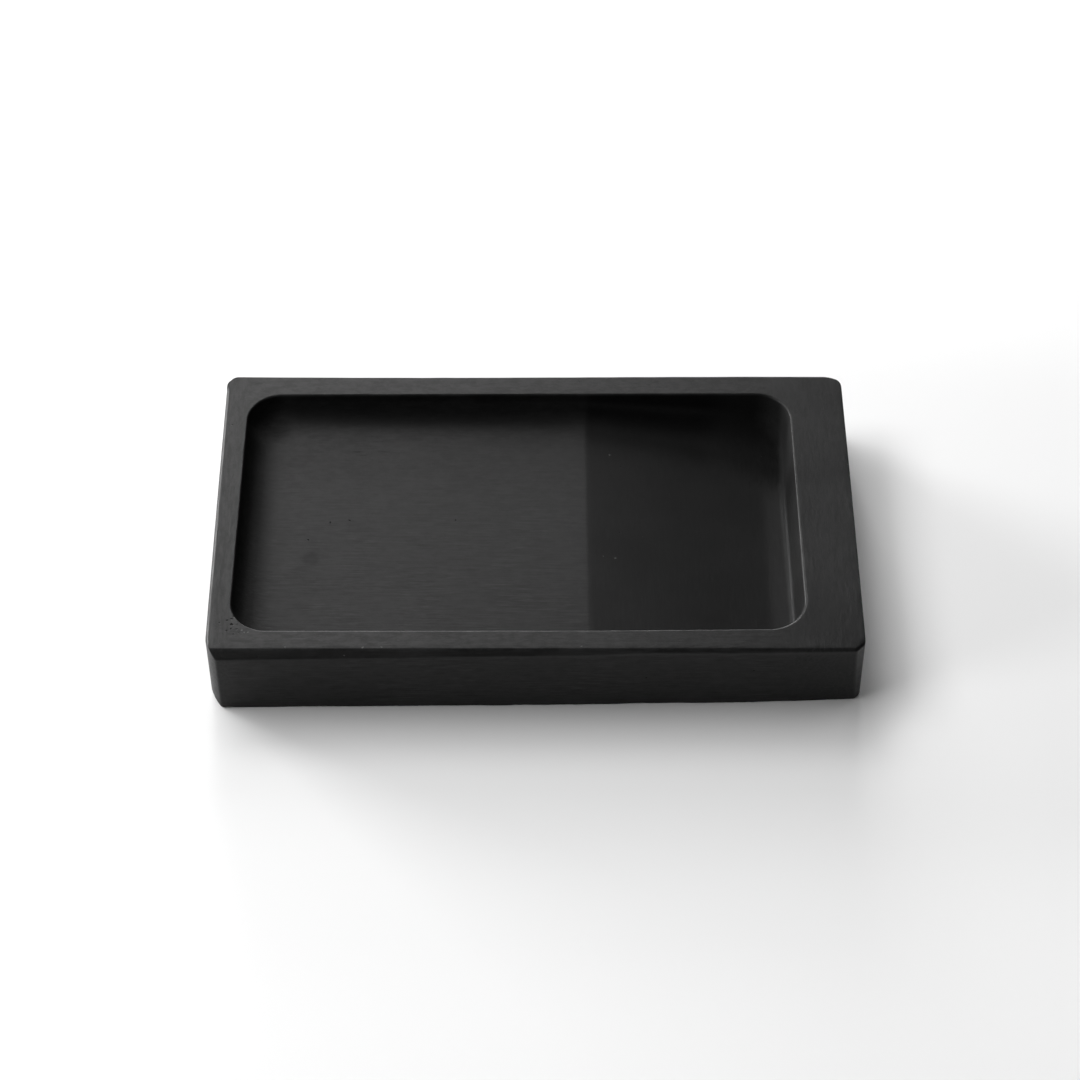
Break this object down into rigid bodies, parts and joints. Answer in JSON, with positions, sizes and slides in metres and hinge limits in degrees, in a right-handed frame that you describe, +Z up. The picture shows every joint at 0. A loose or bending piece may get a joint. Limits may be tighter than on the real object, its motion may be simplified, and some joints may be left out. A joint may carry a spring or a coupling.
{
  "type": "inkstone",
  "caption": "Rectangular carved slate inkstone with a rounded pool: a raised grinding flat that slopes down to a deep end for ink.",
  "frame": {"origin": "middle of the underside of the stone's bounding box, on the surface that it stands on", "axes": "+X along the stone from the grinding flat to the deep end, +Y from front to back, +Z up"},
  "size_m": [0.1366, 0.078, 0.0182],
  "materials": {
    "slate": "honed, dark grey, faintly streaked by the grinding of its faces"
  },
  "bodies": {
    "root": {"inkstone": "slate"}
  },
  "joints": []
}
